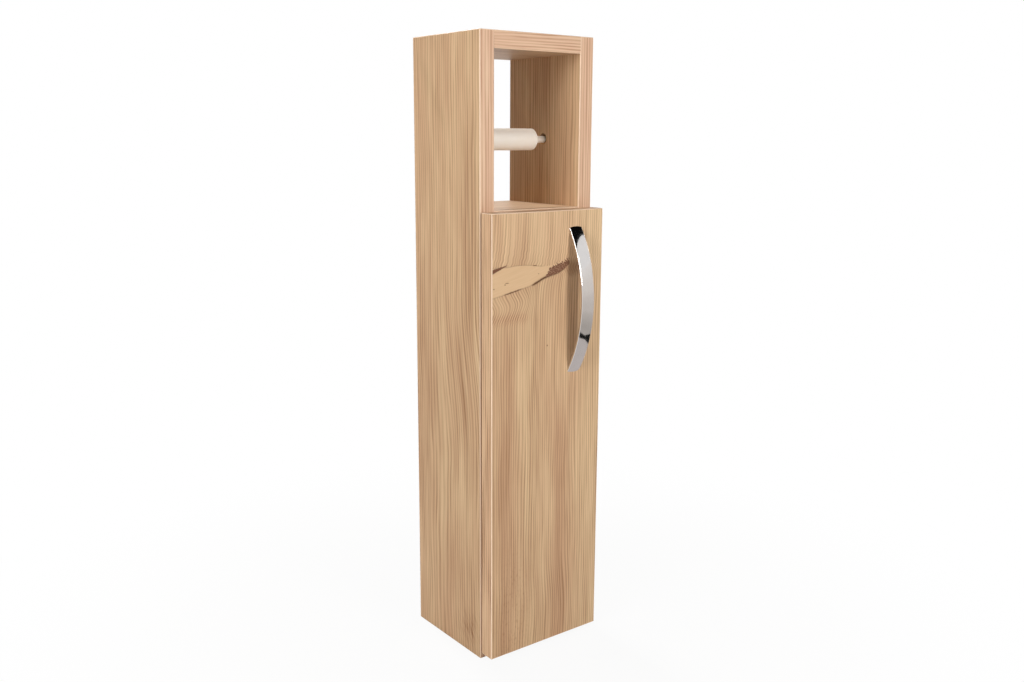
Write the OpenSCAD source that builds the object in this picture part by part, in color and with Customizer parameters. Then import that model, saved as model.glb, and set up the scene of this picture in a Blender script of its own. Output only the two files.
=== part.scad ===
// Toilet roll storage cabinet: a narrow free-standing cabinet of faced board, with an
// open niche and a sprung roll holder above, and a door on single-axis cup hinges below.
// Origin: middle of the carcass footprint, on the floor. +X right, -Y front, +Z up.

/* [Carcass] */
// Width over both side panels
cab_w = 150; // [140:1:220]
// Depth from the front edges to the rear edges
cab_d = 125; // [115:1:180]
// Height from the floor to the top
cab_h = 675; // [600:1:850]
// Thickness of the faced board
board_t = 18; // [17:0.5:22]
// Thickness of the edge banding
band_t = 1; // [0.5:0.1:2]
// Clear height of the open niche
niche_h = 162; // [140:1:190]
// Thickness of the back panel
back_t = 3; // [2.5:0.1:5]
// Distance from the rear edges to the back panel
back_inset = 8; // [5:0.5:12]
// Depth of the groove round the back panel
groove_depth = 5; // [3:0.5:7]

/* [Door] */
// Gap between the carcass and the closed door
door_gap = 2.5; // [2.3:0.1:3.5]
// Height of the door's lower edge above the floor
door_floor_gap = 7; // [4:0.5:12]
// Drop from the niche floor to the door's top edge
door_top_drop = 1; // [0.5:0.5:4]
// Diameter of the door buffers
buffer_d = 8; // [6:0.5:12]

/* [Handle] */
// Length of the bow from end to end
handle_len = 160; // [150:1:175]
// Distance between the two handle screws
handle_pitch = 128; // [112:1:132]
// Height of the bow above the door
handle_rise = 23; // [21:0.5:30]
// Width of the strap
handle_w = 17; // [14:0.5:20]
// Thickness of the strap
handle_t = 3.5; // [3:0.1:4]
// Distance from the door's free edge to the middle of the strap
handle_inset = 38.5; // [30:0.5:60]
// Distance from the door's top edge to the middle of the bow
handle_drop = 98; // [90:1:140]
// Thread diameter of the handle screws
handle_screw_d = 4; // [3.5:0.1:5]
// Metal left between each handle screw's hole and the strap's face
handle_skin = 2; // [1.5:0.1:3]

/* [Roll holder] */
// Height of the holder's axis above the niche floor
rod_rise = 72; // [65:1:90]
// Outside diameter of the tube
tube_d = 24; // [22:0.5:30]
// Wall of the tube
tube_wall = 1.5; // [1.2:0.1:2]
// Length of the tube's body, from its mouth to the end of its shoulder
tube_len = 68; // [62:1:76]
// Radial step from the tube's bore down to the plunger's body
collar_step = 1; // [0.6:0.1:1.5]
// Wall of the plunger
plunger_wall = 2.2; // [1.8:0.1:3]
// Length of the plunger that sits inside the tube
plunger_overlap = 30; // [24:1:36]
// Length of the sloping shoulder at each end
shoulder_len = 3; // [2:0.5:6]
// Radial drop of each shoulder
shoulder_drop = 2.5; // [1:0.5:3]
// Distance from each shoulder to its side panel
neck_len = 14.5; // [10:0.5:16]
// Diameter of the end pins
pin_d = 7.5; // [6:0.5:9]
// Width of the four grooves along each end pin
pin_groove_w = 1.6; // [1:0.1:2]
// Diameter of the holes that the end pins rest in
pin_hole_d = 11; // [9.5:0.5:12]
// Depth of those holes
pin_hole_depth = 8; // [5:0.5:9]
// Wire of the spring
wire_d = 1.2; // [0.8:0.1:1.6]
// Diameter of the spring at the middle of the wire
coil_d = 15; // [12:0.5:16]
// Turns of the spring
coil_turns = 9; // [5:1:11]

/* [Hinges] */
// Distance from each end of the door to its hinge
hinge_inset = 85; // [60:1:110]
// Diameter of the hinge cup
cup_d = 35; // [32:0.5:38]
// Distance from the door's edge to the cup
cup_tab = 3; // [2.5:0.1:3.3]
// Wall of the cup
cup_wall = 0.7; // [0.5:0.1:1]
// Diameter of the hinge pin
hinge_pin_d = 2.5; // [2:0.1:2.6]
// Outside diameter of the arm's eye
eye_d = 4; // [3.8:0.1:4.4]
// Width of the arm's neck
neck_w = 9; // [7:0.5:10]
// Thickness of the arm's steel
arm_t = 1.6; // [1.2:0.1:1.8]
// Distance from the side panel to the middle of the arm's web
web_rise = 6; // [5.5:0.1:7]
// Radius of the bend where the neck turns towards the pin
bend_r = 4; // [3:0.5:5]
// Width of the arm's channel
channel_w = 19; // [18:0.5:22]
// Length of the arm behind the carcass's front edge
arm_reach = 52; // [50:1:56]
// Distance from the front edge to the mounting plate's screws
plate_setback = 37; // [35:1:38]
// Distance between the mounting plate's screws
plate_pitch = 32; // [30:1:36]
// Distance between the cup's screws
cup_pitch = 45; // [44:1:52]
// Distance from the cup's centre to the line of its screws
cup_screw_offset = 9.5; // [8:0.5:10]

/* [Fittings] */
// Diameter of the cam housings
cam_d = 15; // [14:0.5:16]
// Distance from a panel's end to its cam
cam_reach = 24; // [24:1:30]
// Diameter of the cam bolts' heads
bolt_head_d = 7; // [6:0.1:7]
// Diameter of the dowels
dowel_d = 8; // [6:0.5:9]
// Length of the dowels
dowel_len = 30; // [26:1:34]
// Distance of each dowel from the middle of the panel
dowel_offset = 32; // [28:1:34]
// Shank diameter of the wood screws
screw_d = 3.5; // [3:0.1:4]
// Length of the wood screws
screw_len = 14; // [10:0.5:15]

/* [Clearances] */
// Radial clearance of glued and screwed pieces in their holes
glue_fit = 0.05; // [0.02:0.01:0.1]
// Radial clearance of turning and sliding pieces
run_fit = 0.06; // [0.04:0.01:0.08]
// Least distance of the door's edge from the carcass as it swings
swing_clear = 0.5; // [0.3:0.05:0.6]
// Clearance round the moving pieces inside the hinge cup
cup_clear = 0.45; // [0.4:0.05:0.6]

/* [Hidden] */
$fn = 64;

wood = [0.80, 0.65, 0.46];
wood_dark = [0.72, 0.56, 0.38];
banding = [0.86, 0.72, 0.54];
steel = [0.72, 0.72, 0.74];
polished = [0.85, 0.85, 0.87];
cream = [0.90, 0.86, 0.78];
beech = [0.85, 0.70, 0.50];
through = 0.5; // how far a cut runs past the face that it opens

// Carcass places
inner_w = cab_w - 2 * board_t;
front_y = -cab_d / 2;
core_front = front_y + band_t;
core_rear = cab_d / 2 - band_t;
shelf_z = cab_h - 2 * board_t - niche_h;
top_z = cab_h - board_t;
niche_floor = shelf_z + board_t;
panel_floors = [0, shelf_z, top_z];
cam_floors = [0, shelf_z]; // the top panel is glued on dowels alone, so nothing shows in the niche
back_y = cab_d / 2 - back_inset - back_t;
groove_w = back_t + 2 * run_fit;

// Door places
door_back = front_y - door_gap;
door_front = door_back - board_t;
door_low = door_floor_gap;
door_high = niche_floor - door_top_drop;
handle_x = cab_w / 2 - handle_inset;
handle_z = door_high - handle_drop;
bow_r = (pow(handle_len / 2, 2) + pow(handle_rise, 2)) / (2 * handle_rise);
bow_at_screw = sqrt(pow(bow_r, 2) - pow(handle_pitch / 2, 2)) - bow_r + handle_rise;
boss_d = handle_screw_d * 2.5;
tap_depth = bow_at_screw - handle_skin;
tap_slack = 0.3;

// Roll holder places, along its axis from the middle of the niche
rod_z = niche_floor + rod_rise;
hole_rise = (pin_hole_d - pin_d) / 2 - run_fit; // the pins rest on the bottom of their holes
body_end = inner_w / 2 - neck_len;
pin_end = inner_w / 2 + pin_hole_depth - 2 * run_fit;
tube_mouth = body_end - tube_len;
bore_end = body_end - shoulder_len - tube_wall;
bore_r = tube_d / 2 - tube_wall;
collar_r = bore_r - run_fit;
plunger_r = bore_r - collar_step;
collar_len = 6;
lip_len = 2;
plunger_end = tube_mouth + plunger_overlap;
spring_len = bore_end - plunger_end;

// Hinge places, measured in the plan view from the carcass's front left edge
cup_r = cup_d / 2;
cup_u = cup_tab + cup_r;
mouth_half = sqrt(pow(cup_r - cup_wall, 2) - pow(neck_w / 2, 2));
pivot_u = cup_u - mouth_half + eye_d / 2 + cup_clear;
pivot_v = (pow(pivot_u, 2) - pow(door_gap - swing_clear, 2)) / (2 * (door_gap - swing_clear));
pivot_y = -door_gap - pivot_v;
cup_floor_v = pivot_v + eye_d / 2 + cup_clear;
cup_base = 0.8;
flange_t = 1.2;
web_x = board_t + web_rise;
channel_y = 8;
channel_wall = arm_t / 2;
channel_lead = 4;
plate_y = channel_y + channel_lead;
plate_base = 2;
plate_top = web_x - arm_t / 2 - run_fit;
plate_half = channel_w / 2 - channel_wall - cup_clear;
clamp_setback = 9;
arm_screw_gap = 20;
clamp_y = arm_reach - clamp_setback;
adjust_y = clamp_y - arm_screw_gap;
arm_screw_d = 5;
arm_head_d = 9;
head_h = 1.8; // height of the heads of the hinge's screws
cross_w = 0.8; // width of the cross in a screw's head
screw_ease = 0.3; // radial clearance of a screw in the piece that its head holds
hinge_heights = [door_low + hinge_inset, door_high - hinge_inset];
ear_t = 2.5;
ear_gap = neck_w / 2 + cup_clear;

// Sizes that the boards share with their bolts, cams and dowels
bolt_thread = 11;
bolt_thread_d = 5;
bolt_neck_d = bolt_head_d - 3;
bolt_neck = 3;
dowel_in_side = 12;
hole_slack = 0.2;
cam_roof = 1;
cam_depth = board_t / 2 + bolt_head_d / 2 + cam_roof;

// A cylinder along +X that starts at the origin
module bar_x(d, len) {
    rotate([0, 90, 0]) cylinder(d = d, h = len);
}

// A cylinder along -Y that starts at the origin
module bar_front(d, len) {
    rotate([90, 0, 0]) cylinder(d = d, h = len);
}

// Places its children at the inner face of one side panel, turned so that +X runs into the
// panel: side is -1 for the left panel and 1 for the right one
module into_side(side) {
    translate([side * inner_w / 2, 0, 0]) mirror([side < 0 ? 1 : 0, 0, 0]) children();
}

// Distances of the dowels from the middle of an end of the panel at this height
function dowel_places(z) = z == top_z ? [-dowel_offset, 0, dowel_offset] : [-dowel_offset, dowel_offset];

// Places its children at the dowels of one end of the panel at this height
module at_dowels(z) {
    for (y = dowel_places(z)) translate([0, y, 0]) children();
}

// The board of a side panel, with the holes of its fittings
module side_board(side) {
    difference() {
        translate([side < 0 ? -cab_w / 2 : inner_w / 2, core_front, 0])
            cube([board_t, core_rear - core_front, cab_h - band_t]);
        into_side(side) {
            for (z = panel_floors) translate([-through, 0, z + board_t / 2])
                at_dowels(z) bar_x(dowel_d, dowel_in_side + through);
            for (z = cam_floors) translate([-through, 0, z + board_t / 2])
                bar_x(bolt_thread_d + 2 * glue_fit, bolt_thread + through);
            translate([-through, 0, rod_z + hole_rise])
                bar_x(pin_hole_d, pin_hole_depth + through);
            translate([-through, back_y - run_fit, board_t - groove_depth])
                cube([groove_depth + through, groove_w, shelf_z - board_t + 2 * groove_depth]);
        }
    }
}

module side_panel_left() {
    pilot = screw_len - plate_base + hole_slack;
    color(wood) difference() {
        side_board(-1);
        at_hinges() at_plate_screws() translate([board_t - pilot, 0, 0])
            bar_x(screw_d + 2 * glue_fit, pilot + through);
    }
}

module side_panel_right() {
    color(wood) side_board(1);
}

// The board of a panel between the side panels, drilled in its ends for the dowels
module cross_board(z) {
    difference() {
        translate([-inner_w / 2, core_front, z])
            cube([inner_w, core_rear - core_front, board_t]);
        for (side = [-1, 1]) into_side(side) translate([0, 0, z + board_t / 2]) at_dowels(z)
            translate([dowel_in_side - dowel_len - hole_slack, 0, 0]) bar_x(dowel_d, dowel_len);
    }
}

// At each end of a panel, the hole for its cam, from below, and the way in for its bolt
module cam_bores(z) {
    for (side = [-1, 1]) into_side(side) translate([-cam_reach, 0, z]) {
        translate([0, 0, -through]) cylinder(d = cam_d, h = cam_depth + through);
        translate([0, 0, board_t / 2]) bar_x(bolt_head_d + 2 * hole_slack, cam_reach + through);
    }
}

// The groove's cut for the back panel, one groove deep
module back_groove(z) {
    translate([-inner_w / 2 - through, back_y - run_fit, z])
        cube([inner_w + 2 * through, groove_w, groove_depth + through]);
}

module top_panel() {
    color(wood) cross_board(top_z);
}

module niche_shelf() {
    color(wood) difference() {
        cross_board(shelf_z);
        cam_bores(shelf_z);
        back_groove(shelf_z - through);
    }
}

module bottom_panel() {
    color(wood) difference() {
        cross_board(0);
        cam_bores(0);
        back_groove(board_t - groove_depth);
    }
}

module back_panel() {
    seat = groove_depth - run_fit;
    color(wood_dark) translate([-inner_w / 2 - seat, back_y, board_t - seat])
        cube([inner_w + 2 * seat, back_t, shelf_z - board_t + 2 * seat]);
}

// Banding on the front, rear and top edges of a side panel
module side_bands(side) {
    color(banding) translate([side < 0 ? -cab_w / 2 : inner_w / 2, 0, 0]) {
        for (y = [front_y, core_rear]) translate([0, y, 0]) cube([board_t, band_t, cab_h - band_t]);
        translate([0, front_y, cab_h - band_t]) cube([board_t, cab_d, band_t]);
    }
}

// A band on one edge of a panel between the side panels
module cross_band(y, z) {
    color(banding) translate([-inner_w / 2, y, z]) cube([inner_w, band_t, board_t]);
}

module edge_bands_left() {
    side_bands(-1);
}

module edge_bands_right() {
    side_bands(1);
}

module edge_bands_top() {
    for (y = [front_y, core_rear]) cross_band(y, top_z);
}

module edge_bands_shelf() {
    for (y = [front_y, core_rear]) cross_band(y, shelf_z);
}

module edge_band_bottom() {
    for (y = [front_y, core_rear]) cross_band(y, 0);
}

// Places its children at each end of the panels on these floors, at the middle of the
// board, with +X running into the side panel
module at_joints(floors) {
    for (side = [-1, 1], z = floors) into_side(side) translate([0, 0, z + board_t / 2])
        children();
}

// Cam housings: the bolt's head goes in by the round hole at the side, and the quarter slot
// then draws its neck in as the cam turns. The cross below takes the screwdriver.
module cam_housings() {
    cross_len = 9;
    cross_depth = 2;
    cross_wide = 2 * cross_w;
    slot_r = 2.5;
    color(steel) at_joints(cam_floors) translate([-cam_reach, 0, 0]) difference() {
        translate([0, 0, -board_t / 2]) cylinder(d = cam_d - 2 * glue_fit, h = cam_depth - glue_fit);
        translate([-bolt_head_d / 2, 0, 0]) bar_x(bolt_head_d + 2 * glue_fit, bolt_head_d / 2 + slot_r);
        bar_front(bolt_head_d + 2 * glue_fit, cam_d);
        intersection() {
            translate([0, 0, -bolt_neck_d / 2 - glue_fit])
                cylinder(d = cam_d + 1, h = bolt_neck_d + 2 * glue_fit);
            translate([0, -cam_d, -cam_d]) cube([cam_d, cam_d + bolt_neck_d / 2 + glue_fit, 2 * cam_d]);
        }
        for (a = [0, 90]) rotate(a) translate([-cross_len / 2, -cross_wide / 2, -board_t / 2 - through])
            cube([cross_len, cross_wide, cross_depth + through]);
    }
}

// Cam bolts: thread in the side panel, shank, neck and head in the cam
module cam_bolts() {
    shank_start = cam_d / 2 + glue_fit - cam_reach;
    color(steel) at_joints(cam_floors) {
        bar_x(bolt_thread_d, bolt_thread - hole_slack);
        translate([shank_start, 0, 0]) bar_x(bolt_head_d - 1, -shank_start);
        translate([-cam_reach, 0, 0]) bar_x(bolt_neck_d, shank_start + cam_reach);
        translate([-cam_reach - bolt_neck, 0, 0]) bar_x(bolt_head_d, bolt_neck);
    }
}

module dowels() {
    color(beech) for (z = panel_floors) at_joints([z]) at_dowels(z)
        translate([dowel_in_side - dowel_len, 0, 0])
            bar_x(dowel_d - 2 * glue_fit, dowel_len - hole_slack);
}

// Places its children at each hinge's height, at the carcass's front left edge, where the
// hinge's plan measures start
module at_hinge(i) {
    translate([-cab_w / 2, front_y, hinge_heights[i]]) children();
}

module at_hinges() {
    for (i = [0, 1]) at_hinge(i) children();
}

module at_plate_screws() {
    for (s = [-1, 1]) translate([0, plate_setback, s * plate_pitch / 2]) children();
}

// The mounting plate: a raised rail for the arm, on a base with a screw wing each way
module mounting_plate(i) {
    wing = 10;
    color(steel) at_hinge(i) difference() {
        union() {
            translate([board_t, plate_y, -plate_half])
                cube([plate_top - board_t, arm_reach - plate_y, 2 * plate_half]);
            translate([board_t, plate_setback - wing / 2, -plate_pitch / 2])
                cube([plate_base, wing, plate_pitch]);
            at_plate_screws() translate([board_t, 0, 0]) bar_x(wing, plate_base);
        }
        at_plate_screws() translate([board_t - through, 0, 0])
            bar_x(screw_d + 2 * screw_ease, plate_base + 2 * through);
        for (y = [adjust_y, clamp_y]) translate([board_t + plate_base / 2, y, 0])
            bar_x(arm_screw_d + 2 * glue_fit, web_rise);
    }
}

// The cross in the face of a screw's head, cut to half the head's height
module head_cross(head_d, high) {
    for (a = [0, 90]) rotate([a, 0, 0]) translate([high / 2, -head_d / 3, -cross_w / 2])
        cube([high, head_d * 2 / 3, cross_w]);
}

// A wood screw with its head's seat at the origin, its head along +X and its shank along -X
module wood_screw() {
    difference() {
        union() {
            translate([-screw_len, 0, 0]) bar_x(screw_d, screw_len);
            bar_x(2 * screw_d, head_h);
        }
        head_cross(2 * screw_d, head_h);
    }
}

module plate_screws() {
    color(steel) at_hinges() at_plate_screws() translate([board_t + plate_base, 0, 0]) wood_screw();
}

// The plan of all that lies inside one face of the arm's neck: grow is the face's distance
// from the middle of the steel, outwards
module neck_plan(grow) {
    r = bend_r + grow;
    x = pivot_u + grow - arm_t / 2;
    low = pivot_y - grow;
    wide = web_x + grow - x;
    high = channel_y + arm_t - grow - low;
    translate([x, low]) square([wide - r, high]);
    translate([x, low + r]) square([wide, high - r]);
    translate([x + wide - r, low + r]) circle(r = r);
}

// The hinge arm: an eye round the pin, a neck that bends out of the cup, and a channel
// that sits over the mounting plate
module hinge_arm(i) {
    half = neck_w / 2;
    color(steel) at_hinge(i) difference() {
        union() {
            translate([pivot_u, pivot_y, -half]) cylinder(d = eye_d, h = neck_w);
            translate([0, 0, -half]) linear_extrude(neck_w) difference() {
                neck_plan(arm_t / 2);
                neck_plan(-arm_t / 2);
            }
            translate([web_x - arm_t / 2, channel_y, -channel_w / 2])
                cube([arm_t, arm_reach - channel_y, channel_w]);
            for (z = [-channel_w / 2, channel_w / 2 - channel_wall])
                translate([board_t + plate_base + cup_clear, channel_y, z])
                    cube([web_rise - plate_base - cup_clear, arm_reach - channel_y, channel_wall]);
        }
        translate([pivot_u, pivot_y, -half - through])
            cylinder(d = hinge_pin_d + 2 * run_fit, h = neck_w + 2 * through);
        for (y = [adjust_y, clamp_y]) translate([web_x - arm_t, y, 0])
            bar_x(arm_screw_d + 2 * run_fit, 2 * arm_t);
    }
}

// The clamp screw and the adjusting screw of each arm
module arm_screws() {
    seat = web_x + arm_t / 2;
    len = seat - board_t - plate_base;
    color(steel) at_hinges() {
        translate([seat, clamp_y, 0]) difference() {
            union() {
                translate([-len, 0, 0]) bar_x(arm_screw_d, len);
                bar_x(arm_head_d, head_h);
            }
            head_cross(arm_head_d, head_h);
        }
        translate([seat - len, adjust_y, 0]) difference() {
            bar_x(arm_screw_d, len);
            translate([len - cross_w, -arm_screw_d, -cross_w / 2])
                cube([2 * cross_w, 2 * arm_screw_d, cross_w]);
        }
    }
}

// The door's board, bored for the cups, their screws and the handle's screws
module door_panel() {
    half = cab_w / 2 - band_t;
    color(wood) difference() {
        translate([-half, door_front, door_low + band_t])
            cube([2 * half, board_t, door_high - door_low - 2 * band_t]);
        at_hinges() translate([cup_u, -door_gap + through, 0])
            bar_front(cup_d, cup_floor_v + cup_base + glue_fit + through);
        at_cup_screws() translate([0, through, 0])
            bar_front(screw_d + 2 * glue_fit, screw_len - flange_t + hole_slack + through);
        at_handle_screws() translate([0, through, 0])
            bar_front(handle_screw_d + 2 * screw_ease, board_t + 2 * through);
    }
}

module door_edge_bands() {
    full_h = door_high - door_low;
    color(banding) translate([0, door_front, door_low]) {
        for (x = [-cab_w / 2, cab_w / 2 - band_t]) translate([x, 0, 0])
            cube([band_t, board_t, full_h]);
        for (z = [0, full_h - band_t]) translate([-cab_w / 2 + band_t, 0, z])
            cube([cab_w - 2 * band_t, board_t, band_t]);
    }
}

// Places its children on the door's inner face, at the handle's two screws
module at_handle_screws() {
    for (s = [-1, 1]) translate([handle_x, door_back, handle_z + s * handle_pitch / 2]) children();
}

// The handle: a flat strap bent to an arc, with a tapped boss at each screw
module door_handle() {
    color(polished) difference() {
        translate([handle_x, door_front, handle_z]) {
            intersection() {
                translate([-handle_w / 2, bow_r - handle_rise, 0]) difference() {
                    bar_x(2 * bow_r, handle_w, $fn = 180);
                    translate([-through, 0, 0])
                        bar_x(2 * (bow_r - handle_t), handle_w + 2 * through, $fn = 180);
                }
                translate([-handle_w, -2 * handle_rise, -handle_len])
                    cube([2 * handle_w, 2 * handle_rise, 2 * handle_len]);
            }
            for (s = [-1, 1]) intersection() {
                translate([0, 0, s * handle_pitch / 2]) bar_front(boss_d, handle_rise);
                translate([-handle_w, bow_r - handle_rise, 0])
                    bar_x(2 * (bow_r - handle_t / 2), 2 * handle_w, $fn = 180);
            }
        }
        at_handle_screws() translate([0, -board_t + through, 0])
            bar_front(handle_screw_d, tap_depth + through);
    }
}

module handle_screws() {
    high = 2.2;
    head_d = handle_screw_d * 2;
    color(steel) at_handle_screws() difference() {
        union() {
            bar_front(handle_screw_d - 2 * glue_fit, board_t + tap_depth - tap_slack);
            translate([0, high, 0]) bar_front(head_d, high);
        }
        rotate([0, 0, 90]) head_cross(head_d, high);
    }
}

// Soft buffers that the door's free side rests on
module door_buffers() {
    from_end = 15;
    color([0.93, 0.93, 0.90])
        for (z = [door_low + from_end, door_high - from_end])
            translate([cab_w / 2 - board_t / 2, front_y - run_fit, z])
                bar_front(buffer_d, door_gap - run_fit);
}

// Places its children on the door's inner face, at the screws of both cups
module at_cup_screws() {
    at_hinges() for (s = [-1, 1])
        translate([cup_u + cup_screw_offset, -door_gap, s * cup_pitch / 2]) children();
}

// The outline of the cup's flange, drawn in the plane of the door's face
module flange_outline() {
    ear_r = 5;
    circle(r = cup_r + 0.5);
    for (s = [-1, 1]) translate([cup_screw_offset, s * cup_pitch / 2]) circle(r = ear_r);
    translate([cup_screw_offset - ear_r, -cup_pitch / 2]) square([2 * ear_r, cup_pitch]);
}

// The hinge cup: a flanged steel cup with two ears that hold the pin
module hinge_cup(i) {
    depth = cup_floor_v + cup_base;
    ear_low = cup_u - cup_r + cup_wall / 2;
    color(steel) at_hinge(i) difference() {
        union() {
            difference() {
                translate([cup_u, -door_gap, 0]) {
                    bar_front(cup_d - 2 * glue_fit, depth);
                    translate([0, flange_t, 0]) rotate([90, 0, 0])
                        linear_extrude(flange_t) flange_outline();
                }
                translate([cup_u, -door_gap + flange_t + through, 0])
                    bar_front(cup_d - 2 * cup_wall, cup_floor_v + flange_t + through);
            }
            intersection() {
                for (s = [-1, 1])
                    translate([ear_low, -door_gap - cup_floor_v - cup_base / 2,
                        s * (ear_gap + ear_t / 2) - ear_t / 2])
                        cube([pivot_u - ear_low + eye_d / 2, eye_d + cup_clear + cup_base, ear_t]);
                translate([cup_u, -door_gap, 0]) bar_front(cup_d - cup_wall, depth);
            }
        }
        translate([pivot_u, pivot_y, -cup_r]) cylinder(d = hinge_pin_d, h = cup_d);
        for (s = [-1, 1])
            translate([cup_u + cup_screw_offset, -door_gap + 2 * flange_t, s * cup_pitch / 2])
                bar_front(screw_d + 2 * screw_ease, 2 * flange_t + through);
    }
}

module hinge_pins() {
    pin_half = ear_gap + ear_t;
    color(steel) at_hinges() translate([pivot_u, pivot_y, -pin_half])
        cylinder(r = hinge_pin_d / 2 - 0.02, h = 2 * pin_half);
}

// The leaf spring that lies on each cup's floor, with a raised lip beside the arm's eye
module closing_springs() {
    leaf_t = 0.5;
    leaf_w = neck_w - 2;
    lip = 0.6;
    start = pivot_u + eye_d / 2 + cup_clear;
    finish = cup_u + cup_r * 0.6;
    color(polished) at_hinges() translate([0, -door_gap - cup_floor_v, -leaf_w / 2])
        linear_extrude(leaf_w) polygon([[start, 0], [finish, 0], [finish, leaf_t],
            [start + 2 * leaf_t, leaf_t], [start + leaf_t, leaf_t + lip], [start, leaf_t + lip]]);
}

module cup_screws() {
    color(steel) at_cup_screws() translate([0, flange_t, 0]) rotate([0, 0, 90]) wood_screw();
}

// One end of the roll holder, turned about +Z: its body, a sloping shoulder and an end pin
// with four grooves along it
module holder_end(body_r, from) {
    edge = 0.8;
    dome = 0.6;
    end_r = body_r - shoulder_drop;
    difference() {
        rotate_extrude() polygon([[0, from], [body_r, from], [body_r, body_end - shoulder_len],
            [end_r, body_end - dome], [end_r - dome, body_end], [pin_d / 2, body_end],
            [pin_d / 2, pin_end - edge], [pin_d / 2 - edge, pin_end], [0, pin_end]]);
        for (a = [45:90:315]) rotate(a) translate([pin_d / 2 - edge, -pin_groove_w / 2, body_end])
            cube([2 * edge, pin_groove_w, pin_end]);
    }
}

module holder_tube() {
    color(cream) translate([0, 0, rod_z]) rotate([0, 90, 0]) difference() {
        holder_end(tube_d / 2, tube_mouth);
        translate([0, 0, tube_mouth - through])
            cylinder(r = plunger_r + run_fit, h = lip_len + 2 * through);
        translate([0, 0, tube_mouth + lip_len])
            cylinder(r = bore_r, h = bore_end - tube_mouth - lip_len);
    }
}

module holder_plunger() {
    floor_at = body_end - shoulder_len - plunger_wall;
    color(cream) translate([0, 0, rod_z]) rotate([0, -90, 0]) difference() {
        union() {
            holder_end(plunger_r, -plunger_end);
            translate([0, 0, -plunger_end]) cylinder(r = collar_r, h = collar_len);
        }
        translate([0, 0, -plunger_end - through])
            cylinder(r = plunger_r - plunger_wall, h = plunger_end + floor_at + through);
    }
}

// The spring between the plunger and the closed end of the tube
rings_per_turn = 8;
wire_sides = 6;
spring_rings = coil_turns * rings_per_turn;
spring_pitch = (spring_len - wire_d - 2 * run_fit) / coil_turns;

function spring_point(ring, side) = let(
        turn = 360 * ring / rings_per_turn,
        around = 360 * side / wire_sides,
        out = coil_d / 2 + wire_d / 2 * cos(around),
        along = run_fit + wire_d / 2 + spring_pitch * ring / rings_per_turn)
    [plunger_end + along + wire_d / 2 * sin(around), out * cos(turn), out * sin(turn)];

module holder_spring() {
    last = spring_rings * wire_sides;
    points = [for (ring = [0:spring_rings], side = [0:wire_sides - 1]) spring_point(ring, side)];
    skin = [for (ring = [0:spring_rings - 1], side = [0:wire_sides - 1])
        let(a = ring * wire_sides + side, b = ring * wire_sides + (side + 1) % wire_sides)
        each [[a, a + wire_sides, b], [b, a + wire_sides, b + wire_sides]]];
    caps = [for (side = [1:wire_sides - 2])
        each [[0, side, side + 1], [last, last + side + 1, last + side]]];
    color(polished) translate([0, 0, rod_z]) polyhedron(points, concat(skin, caps));
}

echo(least_gap_between_turns = norm(spring_point(rings_per_turn, 0) - spring_point(0, 0)) - wire_d);

side_panel_left();
side_panel_right();
top_panel();
niche_shelf();
bottom_panel();
back_panel();
edge_bands_left();
edge_bands_right();
edge_bands_top();
edge_bands_shelf();
edge_band_bottom();
cam_housings();
cam_bolts();
dowels();
mounting_plate(1);  // mounting_plate_upper
mounting_plate(0);  // mounting_plate_lower
plate_screws();
hinge_arm(1);  // hinge_arm_upper
hinge_arm(0);  // hinge_arm_lower
arm_screws();
door_panel();
door_edge_bands();
door_handle();
handle_screws();
door_buffers();
hinge_cup(1);  // hinge_cup_upper
hinge_cup(0);  // hinge_cup_lower
hinge_pins();
closing_springs();
cup_screws();
holder_tube();
holder_plunger();
holder_spring();
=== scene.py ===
import math

import bmesh
import bpy
from mathutils import Matrix, Vector


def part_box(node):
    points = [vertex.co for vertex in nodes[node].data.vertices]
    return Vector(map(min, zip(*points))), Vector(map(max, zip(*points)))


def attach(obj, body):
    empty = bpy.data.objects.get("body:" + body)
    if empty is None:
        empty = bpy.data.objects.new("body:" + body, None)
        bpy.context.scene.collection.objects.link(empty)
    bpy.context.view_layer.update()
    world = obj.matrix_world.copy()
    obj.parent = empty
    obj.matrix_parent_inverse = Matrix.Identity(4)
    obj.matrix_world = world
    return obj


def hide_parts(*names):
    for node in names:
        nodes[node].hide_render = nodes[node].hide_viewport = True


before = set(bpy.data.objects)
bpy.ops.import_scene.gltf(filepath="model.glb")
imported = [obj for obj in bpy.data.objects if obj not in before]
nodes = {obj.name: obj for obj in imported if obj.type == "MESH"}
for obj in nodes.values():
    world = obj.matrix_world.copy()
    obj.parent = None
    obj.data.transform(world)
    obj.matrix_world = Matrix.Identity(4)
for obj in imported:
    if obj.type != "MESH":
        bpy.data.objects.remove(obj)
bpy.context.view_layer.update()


# Side panels: two full-height boards of faced chipboard. The facing is a printed paper of
# light, straight-grained softwood under a satin resin, pressed on both faces of the board.

class Field:
    """A number that varies over a surface: a shader socket that takes plain arithmetic."""

    def __init__(self, finish, socket):
        self.finish = finish
        self.socket = socket

    def __add__(self, other):
        return self.finish.calc("ADD", self, other)

    def __sub__(self, other):
        return self.finish.calc("SUBTRACT", self, other)

    def __rsub__(self, other):
        return self.finish.calc("SUBTRACT", other, self)

    def __mul__(self, other):
        return self.finish.calc("MULTIPLY", self, other)

    def __truediv__(self, other):
        return self.finish.calc("DIVIDE", self, other)

    __radd__ = __add__


def srgb(red, green, blue):
    """A colour as it looks on screen, from 0 to 255, as the shader's own linear value."""
    linear = []
    for part in (red, green, blue):
        share = part / 255
        linear.append(share / 12.92 if share <= 0.04045 else ((share + 0.055) / 1.055) ** 2.4)
    return (*linear, 1.0)


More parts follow.
